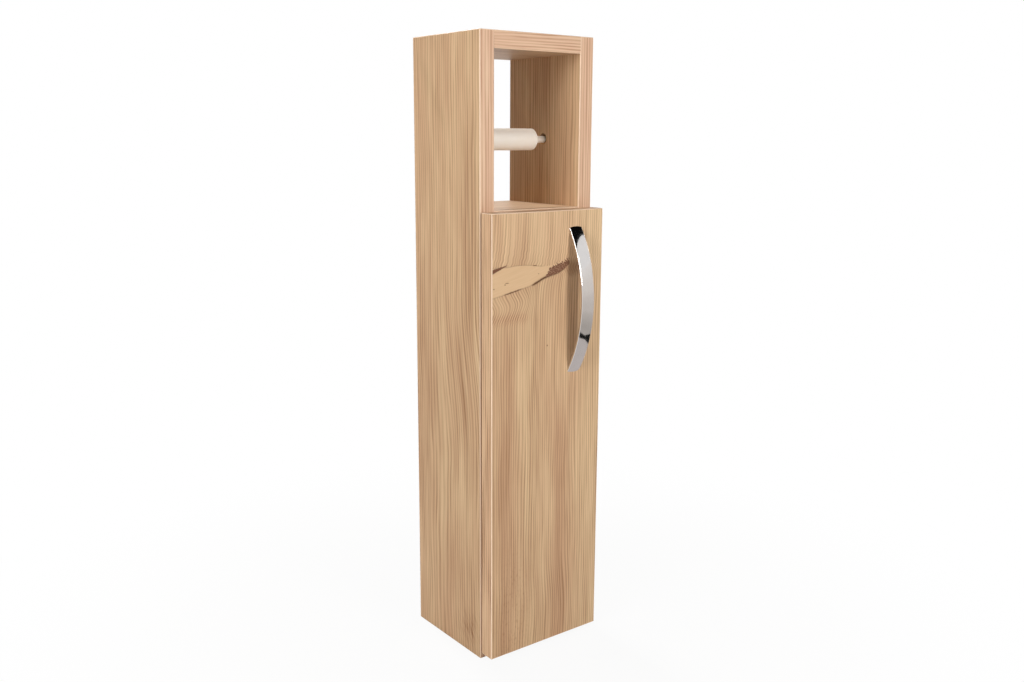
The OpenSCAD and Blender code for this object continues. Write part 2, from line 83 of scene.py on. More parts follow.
class Finish:
    """One material, whose patterns are laid out in millimetres over the resting piece."""

    MILLIMETRES = (1000, 1000, 1000)
    NOISE_SPREAD = 3.2

    def __init__(self, name, colour, roughness, metallic=0.0, shine=0.5):
        self.material = bpy.data.materials.new(name)
        self.material.use_nodes = True
        self.material.diffuse_color = colour
        self.tree = self.material.node_tree
        self.shader = self.tree.nodes["Principled BSDF"]
        self.shader.inputs["Base Color"].default_value = colour
        self.shader.inputs["Roughness"].default_value = roughness
        self.shader.inputs["Metallic"].default_value = metallic
        self.shader.inputs["Specular IOR Level"].default_value = shine
        place = self.add("ShaderNodeTexCoord").outputs["Object"]
        scaled = self.add("ShaderNodeVectorMath", [place, self.MILLIMETRES], operation="MULTIPLY")
        axes = self.add("ShaderNodeSeparateXYZ", [scaled.outputs[0]])
        self.x, self.y, self.z = (Field(self, output) for output in axes.outputs)

    def add(self, kind, values=(), **settings):
        """A node of this kind, with its settings, and its inputs set or joined in order."""
        node = self.tree.nodes.new(kind)
        for name, value in settings.items():
            setattr(node, name, value)
        for socket, value in zip(node.inputs, values):
            self.feed(socket, value)
        return node

    def feed(self, socket, value):
        """Sets the socket to a value, or joins it to a field or to another socket."""
        if isinstance(value, Field):
            value = value.socket
        if isinstance(value, bpy.types.NodeSocket):
            self.tree.links.new(value, socket)
        else:
            socket.default_value = value

    def calc(self, operation, *values):
        """The field that this operation of the maths node makes of the values."""
        return Field(self, self.add("ShaderNodeMath", values, operation=operation).outputs[0])

    def rise(self, value, low, high):
        """0 up to low and 1 from high, with a smooth step between them."""
        node = self.add("ShaderNodeMapRange", [value, low, high], interpolation_type="SMOOTHSTEP")
        return Field(self, node.outputs[0])

    def bell(self, distance, width):
        """1 where the distance is nothing, falling away smoothly over the width."""
        share = distance / width
        return self.calc("EXPONENT", share * share * -1)

    def noise(self, u, v, seed=0.0, detail=2.0):
        """Smooth chance from about -1 to 1, with one swell or so per unit of u and of v."""
        place = self.add("ShaderNodeCombineXYZ", [u, v, seed])
        node = self.add("ShaderNodeTexNoise")
        self.feed(node.inputs["Vector"], place.outputs[0])
        node.inputs["Scale"].default_value = 1.0
        node.inputs["Detail"].default_value = detail
        return (Field(self, node.outputs[0]) - 0.5) * self.NOISE_SPREAD

    def line(self, value, points):
        """The height, at this value, of the smooth line through the points."""
        start, end = points[0][0], points[-1][0]
        low = min(height for _, height in points)
        high = max(height for _, height in points)
        node = self.add("ShaderNodeFloatCurve")
        curve = node.mapping.curves[0]
        for _ in points[2:]:
            curve.points.new(0.5, 0.5)
        for knot, (at, height) in zip(curve.points, points):
            knot.location = ((at - start) / (end - start), (height - low) / (high - low))
        node.mapping.update()
        self.feed(node.inputs["Value"], (value - start) / (end - start))
        return Field(self, node.outputs[0]) * (high - low) + low

    def blend(self, amount, first, second):
        """The first colour, going over to the second as the amount goes from 0 to 1."""
        node = self.add("ShaderNodeMix", data_type="RGBA")
        self.feed(node.inputs[0], amount)
        self.feed(node.inputs[6], first)
        self.feed(node.inputs[7], second)
        return node.outputs[2]

    def paint(self, colour):
        self.feed(self.shader.inputs["Base Color"], colour)

    def polish(self, roughness):
        self.feed(self.shader.inputs["Roughness"], roughness)

    def relief(self, height, depth):
        """Relief in the surface, from a height of -1 to 1 and its depth in millimetres."""
        bump = self.add("ShaderNodeBump")
        bump.inputs["Distance"].default_value = depth / 1000
        self.feed(bump.inputs["Height"], height)
        self.feed(self.shader.inputs["Normal"], bump.outputs["Normal"])


STRAW = srgb(226, 195, 155)
BLUSH = srgb(216, 177, 141)
LATEWOOD = srgb(138, 98, 66)


def softwood(finish, across, along, seed, contrast=1.0, blush=0.0, shade=0.0, pitch=3.3,
             sway=1.0, light=(STRAW, BLUSH), late=LATEWOOD):
    """The printed softwood: growth rings across the grain, wide tones and short flecks.
    across and along are places on the board in millimetres, which a figure may bend."""
    # The rings wander sideways as they run, and here and there crowd together or fade.
    wander = finish.noise(across / 60, along / 230, seed) * (3.2 * sway)
    wander = wander + finish.noise(across / 15, along / 85, seed + 3) * (0.45 * sway)
    ring_at = across + wander
    crowding = finish.noise(ring_at / 24, along / 400, seed + 7) * 0.9
    wave = finish.calc("SINE", (ring_at / pitch + crowding) * math.tau)
    strength = finish.rise(finish.noise(ring_at / 7, along / 110, seed + 5), -0.5, 0.6)
    strength = strength * 0.65 + 0.35
    ring = finish.rise(wave, -0.6, 1.0) * strength - 0.28

    # Finer and broader than the rings are streaks, stripes, wide tones and dark flecks.
    streak = finish.noise(ring_at / 1.3, along / 60, seed + 11)
    stripe = finish.noise(ring_at / 7, along / 130, seed + 17)
    tone = finish.noise(ring_at / 26, along / 260, seed + 23)
    fleck = finish.rise(finish.noise(ring_at / 0.8, along / 6, seed + 29), 0.6, 1.1)

    # The light wood goes from straw to blush with the warmth, and to latewood with the dark.
    warmth = tone * 0.55 + stripe * 0.35 + 0.45 + blush
    dark = ring * 0.43 + streak * 0.15 + stripe * 0.13 + tone * 0.10 + fleck * 0.13
    dark = finish.calc("MAXIMUM", dark * contrast + 0.27 + shade, 0.0)
    colour = finish.blend(warmth, *light)
    finish.relief(dark * -1.0 + streak * 0.2, 0.02)
    finish.polish(0.44 + dark * 0.14)
    return finish.blend(dark, colour, late)


def dress(node, finish):
    """A carried-over piece takes this finish in each of its material slots."""
    mesh = nodes[node].data
    mesh.materials.clear()
    mesh.materials.append(finish.material)


side_decor = Finish("side_decor", STRAW, 0.45, shine=0.12)
rise, bell, noise, calc = side_decor.rise, side_decor.bell, side_decor.noise, side_decor.calc
side_y, side_z = side_decor.y, side_decor.z
PANEL_OUT = 75.0
outer = rise(side_decor.x, 1.0 - PANEL_OUT, 0.2 - PANEL_OUT)

# On the left panel's outer face the lines lean to the front as they come down. High up are
# dark waves near the front, a slanting cloud and a pale patch, and lower down a dark vein.
drift = rise(side_z, 400, 215) * rise(side_y, 45, -22) * outer
bend_y = side_y + drift * 17.0 + noise(side_y / 80, side_z / 210, 40) * 2.4
high_wave = bell(side_y + 45, 15) * rise(side_z, 330, 400) * rise(side_z, 640, 500)
wave_line = rise(calc("SINE", bend_y * (math.tau / 6.2)), -0.2, 1.0)
slant = side_y - 42 + (645 - side_z) * 0.6
cloud = bell(slant, 9) * rise(side_z, 560, 600) * rise(side_z, 665, 640)
run = bend_y + 21 + noise(0.0, side_z / 90, 41) * 1.5
vein = bell(run, 2.8) * rise(side_z, 120, 230) * rise(side_z, 390, 330)
pale = bell(side_y + 12, 6) * rise(side_z, 590, 615)

# At the front foot of the same face are short dark marks, and its lower half is darker.
low_patch = bell(side_y + 42, 21) * bell(side_z - 27, 20)
low_mark = rise(noise((side_y - side_z * 0.5) / 1.9, side_z / 16, 44), -0.3, 0.6)
side_shade = high_wave * (wave_line * 0.30 + 0.08) + cloud * 0.12 + vein * 0.24 - pale * 0.08
side_shade = side_shade + low_patch * (low_mark * 0.40 + 0.08) + rise(side_z, 520, 250) * 0.13
# Every face but the left panel's outer one is darker by painted shade, meant for the niche's dim
# inner walls.
side_shade = side_shade * outer + (1.0 - outer) * 0.08
side_blush = rise(side_y, 35, 60) * 0.35 - cloud * 0.3
side_print = softwood(side_decor, bend_y, side_z, 2, contrast=0.95, blush=side_blush,
                      shade=side_shade, pitch=4.3)

# Each panel's blind bore for a holder pin shows raw chipboard, in painted shade above and with a
# painted pale light along its foot.
BORE_Z = 567
BORE_R = 5.5
over_bore = side_z - BORE_Z
from_bore = calc("SQRT", side_y * side_y + over_bore * over_bore)
in_bore = rise(from_bore, BORE_R + 0.2, BORE_R + 0.1)
in_bore = in_bore * rise(calc("ABSOLUTE", side_decor.x), PANEL_OUT - 0.5, PANEL_OUT - 1.0)
bore_chip_and_shade = side_decor.blend(rise(side_z, BORE_Z - 4.5, BORE_Z - 1.5),
                        srgb(190, 150, 108), srgb(58, 42, 32))
side_print = side_decor.blend(in_bore, side_print, bore_chip_and_shade)
side_decor.paint(side_print)
for side in ("side_panel_left", "side_panel_right"):
    dress(side, side_decor)


# Top panel, niche shelf and bottom panel: three short boards of the same faced chipboard,
# cut with the grain running from side to side and held between the side panels.

cross_decor = Finish("cross_decor", STRAW, 0.4, shine=0.6)
# The top panel's print is darker by painted shade, for the niche's dim ceiling under it.
top_panel_shade = cross_decor.rise(cross_decor.z, 560, 620)
cross_decor.paint(softwood(cross_decor, cross_decor.y, cross_decor.x, 61,
                           shade=top_panel_shade * 0.14 - 0.02))
for board in ("top_panel", "niche_shelf", "bottom_panel"):
    dress(board, cross_decor)


# Back panel: thin fibreboard with the same print on its faces, slid into grooves in the
# side panels, the shelf and the bottom panel.

back_decor = Finish("back_decor", STRAW, 0.5, shine=0.12)
back_decor.paint(softwood(back_decor, back_decor.x, back_decor.z, 90, contrast=0.8, shade=0.08))
dress("back_panel", back_decor)


# Edge banding of the carcass: plastic strip, 1 mm thick, glued on the panels' edges and
# trimmed with a small round on each outer arris, whose pale line is a painted highlight.

# In metres: the arris's round, and how near two places are that count as one. In radians:
# how near two faces are to one plane that count as one.
ARRIS = 0.8 / 1000
SAME_PLACE = 1e-6
SAME_PLANE = 0.01


def plane_set(vertex, low, high):
    """The faces of the box from low to high on which this vertex lies, such as 'x-'."""
    planes = set()
    for axis, letter in enumerate("xyz"):
        if abs(vertex.co[axis] - low[axis]) < SAME_PLACE:
            planes.add(letter + "-")
        if abs(vertex.co[axis] - high[axis]) < SAME_PLACE:
            planes.add(letter + "+")
    return planes


def band(node, body, finishes, square=(), plain_behind=False):
    """A node's banding, with its outer arrises rounded except on the sides named in square.
    The rounds carry a painted highlight, unless those at the back are to stay plain."""
    low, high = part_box(node)
    mesh = bpy.data.meshes.new(node + "_rounded")
    for finish in finishes:
        mesh.materials.append(finish.material)
    build = bmesh.new()
    build.from_mesh(nodes[node].data)
    bmesh.ops.remove_doubles(build, verts=build.verts, dist=SAME_PLACE)
    bmesh.ops.dissolve_limit(build, angle_limit=SAME_PLANE, verts=build.verts, edges=build.edges)
    outside = []
    for edge in build.edges:
        shared = plane_set(edge.verts[0], low, high) & plane_set(edge.verts[1], low, high)
        if len(shared) >= 2 and not shared & set(square):
            outside.append(edge)
    rounded = bmesh.ops.bevel(build, geom=outside, offset=ARRIS, segments=3, profile=0.5,
                              affect="EDGES")
    for face in build.faces:
        face.smooth = True
        face.material_index = 0
    # The rounds take the painted highlight, or at the back the face's print when plain_behind.
    for face in rounded["faces"]:
        behind = face.calc_center_median().y > high.y - ARRIS
        face.material_index = 0 if plain_behind and behind else 1
    build.to_mesh(mesh)
    build.free()
    piece = bpy.data.objects.new(node + "_rounded", mesh)
    bpy.context.scene.collection.objects.link(piece)
    piece.modifiers.new("even_shading", "WEIGHTED_NORMAL").weight = 100
    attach(piece, body)
    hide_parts(node)


BAND_LIGHT = (srgb(230, 204, 171), srgb(224, 188, 158))
BAND_LATE = srgb(172, 122, 94)


def band_finishes(name, width_axis, grain_axis, seed, sway=0.25, shade=-0.05,
                  glint=(240, 211, 182), light=BAND_LIGHT, late=BAND_LATE, contrast=1.5):
    """The strip's printed face and its arris with a painted highlight, whose screen colour is the
    glint.
    """
    face = Finish(name, BLUSH, 0.42, shine=0.2)
    across, along = getattr(face, width_axis), getattr(face, grain_axis)
    face.paint(softwood(face, across, along, seed, contrast=contrast, blush=0.4, shade=shade,
                        pitch=3.6, sway=sway, light=light, late=late))
    # The arris finish is a painted highlight: pale, with duller spots along it.
    highlight_finish = Finish(name + "_arris_highlight", srgb(*glint), 0.32, shine=0.4)
    spots = highlight_finish.noise(getattr(highlight_finish, grain_axis) / 7, 0.0, seed)
    duller = srgb(*(part - 14 for part in glint))
    highlight_finish.paint(highlight_finish.blend(spots * 0.4 + 0.4, srgb(*glint), duller))
    return face, highlight_finish


side_band = band_finishes("side_band", "x", "z", 120)
shelf_band = band_finishes("shelf_band", "z", "x", 150, sway=0.7, glint=(244, 216, 188))
rail_band = band_finishes("rail_band", "z", "x", 140, sway=1.4, glint=(232, 199, 168))
band("edge_bands_left", "carcass", side_band, square=["z-"])
band("edge_bands_right", "carcass", side_band, square=["z-"])
band("edge_bands_top", "carcass", rail_band, square=["x-", "x+"])
band("edge_bands_shelf", "carcass", shelf_band, square=["x-", "x+"])
band("edge_band_bottom", "carcass", rail_band, square=["x-", "x+", "z-"])


# Dowels: beech pegs, glued in beside each cam fitting, and three at each end of the top
# panel, which they alone hold.

beech = Finish("beech", srgb(212, 178, 134), 0.6, shine=0.3)
beech_fibre = beech.noise(beech.x / 6, beech.y / 0.5 + beech.z / 0.5, 160)
beech.paint(beech.blend(beech_fibre * 0.5 + 0.5, srgb(220, 188, 146), srgb(190, 150, 106)))
beech.relief(beech_fibre, 0.03)
dress("dowels", beech)


# Cam fittings of the niche shelf and the bottom panel: a zinc housing, die-cast and left
# dull, in each end of the board, and a zinc-plated steel bolt that it draws in.

def worn_metal(name, colour, dull, roughness, grain, seed):
    """A plain metal with a fine uneven skin: grain is the size of its marks in millimetres."""
    metal = Finish(name, colour, roughness, metallic=1.0)
    skin = metal.noise(metal.x / grain + metal.y / grain, metal.z / grain, seed, detail=3)
    metal.paint(metal.blend(skin * 0.35 + 0.35, colour, dull))
    metal.polish(skin * 0.07 + roughness)
    metal.relief(skin, 0.01)
    return metal


cast_zinc = worn_metal("cast_zinc", srgb(176, 176, 178), srgb(132, 132, 134), 0.52, 0.6, 170)
plated_steel = worn_metal("plated_steel", srgb(196, 197, 202), srgb(158, 158, 162), 0.3, 1.1, 180)
dress("cam_housings", cast_zinc)
for fitting in ("cam_bolts", "plate_screws", "arm_screws", "handle_screws", "cup_screws",
                "hinge_pins"):
    dress(fitting, plated_steel)


# Hinges: steel cup, arm and mounting plate, pressed from strip and nickel-plated, so they
# keep a satin skin with faint marks along the strip. The leaf spring is drawn steel.

satin_nickel = worn_metal("satin_nickel", srgb(200, 199, 196), srgb(168, 166, 162), 0.28, 1.6, 190)
drawn_steel = worn_metal("drawn_steel", srgb(150, 150, 154), srgb(112, 112, 116), 0.34, 0.5, 200)
for pressing in ("mounting_plate_upper", "mounting_plate_lower", "hinge_arm_upper",
                 "hinge_arm_lower", "hinge_cup_upper", "hinge_cup_lower"):
    dress(pressing, satin_nickel)
dress("closing_springs", drawn_steel)
dress("holder_spring", drawn_steel)


# Door: one slab of the same faced board. Its front print has a long pale knot at the upper
# left, with a strip of bark at its tip, and the grain bends round it.

door_decor = Finish("door_decor", STRAW, 0.45, shine=0.12)
rise, bell, noise, calc = door_decor.rise, door_decor.bell, door_decor.noise, door_decor.calc
door_x, door_z = door_decor.x, door_decor.z

# The marks belong to the front face alone. The knot lies between these two outlines, from
# the door's left edge to x 30.
front = rise(door_decor.y, -74.0, -80.0)
knot_top = door_decor.line(door_x, [(-75, 438.8), (-57, 438.3), (-42, 439.1), (-22, 438.0),
                                    (-3, 436.2), (12, 438.4), (30, 439.5)])
knot_foot = door_decor.line(door_x, [(-75, 407.2), (-53, 411.1), (-39, 413.9), (-23, 417.2),
                                     (-4, 424.4), (14, 428.7), (26, 435.2), (32, 439.0)])
ragged = noise(door_x / 2.2, door_z / 2.2, 210, detail=3)
above = calc("MAXIMUM", door_z - knot_top, 0.0)
below = calc("MAXIMUM", knot_foot - door_z, 0.0)
over_knot = rise(door_z, 424, 432)
under_knot = 1.0 - over_knot
near_left = rise(door_x, 5, -35)
near_tip = rise(door_x, 52, 30) * rise(door_x, -30, 5)

# Above the knot the grain leans to the left as it comes down, and below it bulges right,
# with a row of short dashes where it is crimped. Near the door's foot it sweeps right.
lean = calc("EXPONENT", above / -12.0) * (near_left * 5.0 + near_tip * 3.0) * over_knot
bulge = bell(below - 15, 11) * rise(door_x, -12, -32) * under_knot * 7.5
turn = calc("EXPONENT", below / -9.0) * near_tip * under_knot * 5.0
crimp = bell(door_z - 384 + noise(door_x / 9, 0.0, 206), 6) * rise(door_x, -22, -38)
dash_line = calc("SINE", (door_x - door_z * 0.6 + ragged * 0.5) * (math.tau / 3.2))
dashes = rise(dash_line, 0.0, 0.9) * crimp
ripple = calc("SINE", door_z * 0.7 + door_x * 0.2) * calc("EXPONENT", above / -22.0) * over_knot
sweep = bell(door_z - 45, 48) * bell(door_x, 34) * 5.0
grain_x = door_x + (lean - bulge - turn + ripple * 0.5 - sweep) * front

# Broad warm and dark places in the print: down the left and the middle, round the knot,
# beside the handle, and mottled at the left foot.
brown_left = bell(door_x + 60, 15) * rise(door_z, 395, 330)
brown_mid = bell(door_x - 17, 13) * rise(door_z, 330, 230)
straw_mid = bell(door_x + 22, 14) + rise(door_x, 38, 55)
door_blush = brown_left * 0.5 + brown_mid * 0.6 + crimp * 0.4 - straw_mid * 0.35
streaks = bell(grain_x + 17.5, 4.5) * rise(door_z, 392, 372)
streaks = streaks * rise(noise(grain_x / 1.2, door_z / 90, 220), -0.1, 0.5)
near_knot = calc("EXPONENT", (above + below) / -14.0) * rise(door_x, 40, -10)
beside_handle = rise(door_x, 54, 64) * bell(door_z - 385, 55)
door_shade = brown_left * 0.14 + brown_mid * 0.09 + streaks * 0.20 + near_knot * 0.08
door_shade = door_shade + beside_handle * 0.12 + dashes * 0.30
# The door is also darker below the knot's height and a little lighter above the knot.
door_shade = door_shade + rise(door_z, 455, 415) * 0.06 - over_knot * 0.05
mottle = rise(noise(grain_x / 1.4, door_z / 5, 250, detail=3), 0.0, 0.8)
mottle = mottle * bell(door_x + 44, 22) * rise(door_z, 170, 60)
door_shade = door_shade + mottle * 0.26
print_colour = softwood(door_decor, grain_x, door_z, 205, blush=door_blush * front,
                        shade=door_shade * front)

# The knot: pale sapwood with faint lines along it, and a dark seam along its foot.
in_knot = rise(door_z - knot_foot, -0.3, 0.5) * rise(knot_top - door_z, -0.5, 0.6)
in_knot = in_knot * rise(door_x, 26, 16) * front
fibre = noise((door_z - knot_foot) / 1.3 - door_x * 0.03, door_x / 30, 230)
knot_colour = door_decor.blend(fibre * 0.35 + 0.3, srgb(217, 184, 146), srgb(203, 167, 128))
print_colour = door_decor.blend(in_knot, print_colour, knot_colour)

seam_left = rise(door_x, -62, -54) * rise(door_x, -34, -41)
seam_right = rise(door_x, -25, -19) * rise(door_x, 28, 20)
seam_strength = seam_left * 0.8 + seam_right + rise(door_x, 30, 24) * 0.25
seam_width = seam_right * 0.55 + 0.7
seam = bell(door_z - knot_foot + ragged * 0.4, seam_width) * seam_strength * front
roof_line = bell(door_z - knot_top + ragged * 0.3, 0.5) * rise(door_x, -4, -12) * 0.3
seam_brown = srgb(96, 64, 42)
print_colour = door_decor.blend(seam + roof_line * front, print_colour, seam_brown)

# Bark: a ragged strip of it over the seam at the knot's tip, and a thin rim at its left end.
spikes = noise(door_x / 1.8 + door_z / 4, door_z / 3, 215, detail=1)
bark_rise = door_decor.line(door_x, [(-6, -2.0), (-2, 3.5), (4, 8.5), (10, 9.5), (18, 8.0),
                                     (24, 6.5), (29, 3.0)])
bark_over = door_z - knot_foot - bark_rise + spikes * 4.2
bark = rise(bark_over, 0.4, -0.4) * rise(door_z - knot_foot, -0.9, -0.2)
bark = bark * rise(door_x, -5, -3) * rise(door_x, 29, 27.5) * front
bark_print = noise(door_x / 1.3, door_z / 0.9, 240, detail=3)
bark_brown, bark_tan = srgb(112, 76, 58), srgb(176, 136, 108)
bark_colour = door_decor.blend(rise(bark_print, 0.0, 0.5), bark_brown, bark_tan)
print_colour = door_decor.blend(bark, print_colour, bark_colour)

rim = door_z - (435.0 + (door_x + 73) * 0.30) + ragged * 0.5
rim_width = rise(door_x, -56, -74) * 1.6 + 0.5
rim_bark = rise(calc("ABSOLUTE", rim) - rim_width, 0.7, -0.5)
rim_bark = rim_bark * rise(door_x, -54, -58) * front
rim_brown = srgb(116, 78, 58)
print_colour = door_decor.blend(rim_bark, print_colour, rim_brown)

# A dark eye beside the handle, and small marks in and below the knot, each with its place
# and its half width and half height.
eye_x, eye_z = door_x - 33, door_z - 432
eye_reach = calc("SQRT", eye_x * eye_x / 1.6 + eye_z * eye_z)
eye = rise(eye_reach + ragged * 1.5, 13, 2) * 0.5 * front
eye_brown = srgb(120, 80, 50)
print_colour = door_decor.blend(eye, print_colour, eye_brown)
mark_brown = srgb(112, 76, 52)
small_marks = [(-19, 437.7, 3.0, 0.6), (-55.5, 422, 2.6, 0.5), (-58, 420.5, 0.8, 0.8),
               (-72.2, 417, 0.7, 0.9), (-14, 428.7, 0.9, 0.4), (-1.2, 350, 0.9, 1.1)]
for mark_x, mark_z, half_w, half_h in small_marks:
    step_x = (door_x - mark_x) / half_w
    step_z = (door_z - mark_z) / half_h
    mark = rise(step_x * step_x + step_z * step_z + ragged * 0.3, 1.3, 0.4) * front * 0.8
    print_colour = door_decor.blend(mark, print_colour, mark_brown)
door_decor.paint(print_colour)
dress("door_panel", door_decor)


# Door banding: plastic strip as on the carcass, but in the board's own darker print, glued
# round all four edges of the door, with every outer arris rounded.

door_side_band = band_finishes("door_band", "y", "z", 260, shade=-0.03, glint=(241, 214, 187),
                               light=(STRAW, BLUSH), late=LATEWOOD, contrast=2.3)
band("door_edge_bands", "door", door_side_band, plain_behind=True)


# Door buffers: two small beads of clear soft plastic with a sticky back, pressed on the
# inside of the door where it meets the right side panel.

buffer_gel = Finish("buffer_gel", srgb(226, 226, 218), 0.25, shine=0.5)
buffer_cloud = buffer_gel.noise(buffer_gel.x / 2, buffer_gel.z / 2, 280)
buffer_gel.paint(buffer_gel.blend(buffer_cloud * 0.4 + 0.4,
                                  srgb(232, 232, 226), srgb(206, 207, 200)))
dress("door_buffers", buffer_gel)


# Handle: a zinc casting, polished and chromed: a flat strap bent to an even arc, slightly
# crowned across its width, with two bosses tapped for the screws from inside the door.

strap_low, strap_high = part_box("door_handle")
door_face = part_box("door_panel")[0].y
strap_w = strap_high.x - strap_low.x
strap_rise = door_face - strap_low.y
strap_half = (strap_high.z - strap_low.z) / 2
strap_t = 0.0035
strap_crown = 0.0006
strap_round = 0.0007
boss_r = 0.005
boss_off = 0.064
boss_bite = strap_t * 0.6
boss_sides = 40
bow_r = (strap_half ** 2 + strap_rise ** 2) / (2 * strap_rise)
bow_centre = Vector(((strap_low.x + strap_high.x) / 2, strap_low.y + bow_r,
                     (strap_low.z + strap_high.z) / 2))
past_door = 0.06
reach = math.asin(strap_half / bow_r) + past_door


def strap_section():
    """The strap's outline: places across it, and depths below its crowned outer face."""
    points = []
    half = strap_w / 2
    face_steps, corner_steps = 12, 5
    for step in range(face_steps + 1):
        across = (half - strap_round) * (2 * step / face_steps - 1)
        points.append((across, strap_crown * (across / half) ** 2))
    edge_depth = points[-1][1]
    for sign, depth, first in ((1, edge_depth + strap_round, 0), (1, strap_t - strap_round, 90),
                               (-1, strap_t - strap_round, 180),
                               (-1, edge_depth + strap_round, 270)):
        for step in range(corner_steps + 1):
            turn = math.radians(first + 90 * step / corner_steps)
            across = sign * (half - strap_round) + strap_round * math.sin(turn)
            points.append((across, depth - strap_round * math.cos(turn)))
    return points


# The strap: its outline is swept round the arc a little past the door, and cut at its face.
build = bmesh.new()
section = strap_section()
arc_steps = 96
rings = []
for step in range(arc_steps + 1):
    angle = reach * (2 * step / arc_steps - 1)
    ring = []
    for across, depth in section:
        out = bow_r - depth
        place = bow_centre + Vector((across, -out * math.cos(angle), out * math.sin(angle)))
        ring.append(build.verts.new(place))
    rings.append(ring)
for first, second in zip(rings, rings[1:]):
    for here in range(len(section)):
        there = (here + 1) % len(section)
        build.faces.new((first[here], first[there], second[there], second[here]))
bmesh.ops.remove_doubles(build, verts=build.verts, dist=1e-7)
bmesh.ops.bisect_plane(build, geom=build.verts[:] + build.edges[:] + build.faces[:],
                       plane_co=(0, door_face, 0), plane_no=(0, 1, 0), clear_outer=True)
bmesh.ops.holes_fill(build, edges=build.edges)

# The bosses: each stands on the door's face, and its outer end follows the arc in the strap.
for side in (-1, 1):
    boss_z = bow_centre.z + side * boss_off
    bow_there = math.sqrt(bow_r ** 2 - boss_off ** 2) - bow_r + strap_rise
    boss_len = bow_there - strap_t / 2
    middle = Vector((bow_centre.x, door_face - boss_len / 2, boss_z))
    turn = Matrix.Translation(middle) @ Matrix.Rotation(math.radians(90), 4, "X")
    boss = bmesh.ops.create_cone(build, cap_ends=True, segments=boss_sides, radius1=boss_r,
                                 radius2=boss_r, depth=boss_len, matrix=turn)
    for vertex in boss["verts"]:
        if vertex.co.y < middle.y:
            away = vertex.co.z - bow_centre.z
            vertex.co.y = bow_centre.y - math.sqrt((bow_r - boss_bite) ** 2 - away ** 2)
bmesh.ops.recalc_face_normals(build, faces=build.faces)
for face in build.faces:
    face.smooth = True
handle_mesh = bpy.data.meshes.new("door_handle_strap")
build.to_mesh(handle_mesh)
build.free()
handle_mesh.set_sharp_from_angle(angle=math.radians(50))
handle = bpy.data.objects.new("door_handle_strap", handle_mesh)
bpy.context.scene.collection.objects.link(handle)

chrome = Finish("chrome", srgb(214, 212, 210), 0.07, metallic=1.0)
ripples = chrome.noise(chrome.x / 14, chrome.z / 22, 300, detail=1)
smears = chrome.noise(chrome.x / 5, chrome.z / 9, 310, detail=3)
chrome.paint(chrome.blend(smears * 0.2 + 0.2, srgb(216, 213, 211), srgb(204, 199, 199)))
chrome.polish(smears * 0.03 + 0.07)
chrome.relief(ripples, 0.02)
handle_mesh.materials.append(chrome.material)
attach(handle, "door")
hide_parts("door_handle")


# Roll holder: two moulded tubes of cream plastic, one sliding in the other on a spring, so
# that the pins at their ends snap into the holes in the side panels.

cream = Finish("cream_plastic", srgb(250, 245, 236), 0.34, shine=0.45)
mould_skin = cream.noise(cream.x / 9, cream.y / 6 + cream.z / 6, 320, detail=3)
cream.paint(cream.blend(mould_skin * 0.35 + 0.35, srgb(252, 247, 239), srgb(246, 239, 226)))
cream.polish(mould_skin * 0.05 + 0.34)
cream.relief(mould_skin, 0.02)
dress("holder_tube", cream)
dress("holder_plunger", cream)


# Studio: a pale floor that keeps a soft shadow, and behind it a white room that shows only
# to the camera and in reflections. The boards' own light comes from four soft lamps, and
# the shades in the chrome come from cards that show in shiny surfaces alone.

def seen_directly(tree):
    """1 for rays from the camera and for those that mirror or glass sends on, else 0."""
    path = tree.nodes.new("ShaderNodeLightPath")
    total = path.outputs["Is Camera Ray"]
    for kind in ("Is Glossy Ray", "Is Transmission Ray"):
        either = tree.nodes.new("ShaderNodeMath")
        either.operation = "MAXIMUM"
        tree.links.new(total, either.inputs[0])
        tree.links.new(path.outputs[kind], either.inputs[1])
        total = either.outputs[0]
    return total


WHITE = (1, 1, 1, 1)
WARM_AIR = (0.135, 0.118, 0.096, 1)
FLOOR_GREY = (0.62, 0.62, 0.62, 1)
FLOOR_HALF = 12
world = bpy.data.worlds.new("studio")
bpy.context.scene.world = world
world.use_nodes = True
room = world.node_tree
air = room.nodes["Background"]
air.inputs["Color"].default_value = WARM_AIR
screen = room.nodes.new("ShaderNodeBackground")
screen.inputs["Color"].default_value = WHITE
either_air = room.nodes.new("ShaderNodeMixShader")
room.links.new(seen_directly(room), either_air.inputs[0])
room.links.new(air.outputs[0], either_air.inputs[1])
room.links.new(screen.outputs[0], either_air.inputs[2])
room.links.new(either_air.outputs[0], room.nodes["World Output"].inputs["Surface"])

floor_paint = bpy.data.materials.new("floor_paint")
floor_paint.use_nodes = True
paper = floor_paint.node_tree
matt = paper.nodes["Principled BSDF"]
matt.inputs["Base Color"].default_value = FLOOR_GREY
matt.inputs["Roughness"].default_value = 0.9
matt.inputs["Specular IOR Level"].default_value = 0.0
glow = paper.nodes.new("ShaderNodeEmission")
glow.inputs["Color"].default_value = WHITE
floor_place = paper.nodes.new("ShaderNodeTexCoord")
from_middle = paper.nodes.new("ShaderNodeVectorMath")
from_middle.operation = "LENGTH"
paper.links.new(floor_place.outputs["Object"], from_middle.inputs[0])
whiter = paper.nodes.new("ShaderNodeMapRange")
whiter.interpolation_type = "SMOOTHSTEP"
whiter.inputs["From Min"].default_value = 0.1
whiter.inputs["From Max"].default_value = 0.7
whiter.inputs["To Min"].default_value = 0.93
paper.links.new(from_middle.outputs["Value"], whiter.inputs["Value"])
glow_share = paper.nodes.new("ShaderNodeMath")
glow_share.operation = "MULTIPLY"
paper.links.new(seen_directly(paper), glow_share.inputs[0])
paper.links.new(whiter.outputs["Result"], glow_share.inputs[1])
either_floor = paper.nodes.new("ShaderNodeMixShader")
paper.links.new(glow_share.outputs[0], either_floor.inputs[0])
paper.links.new(matt.outputs[0], either_floor.inputs[1])
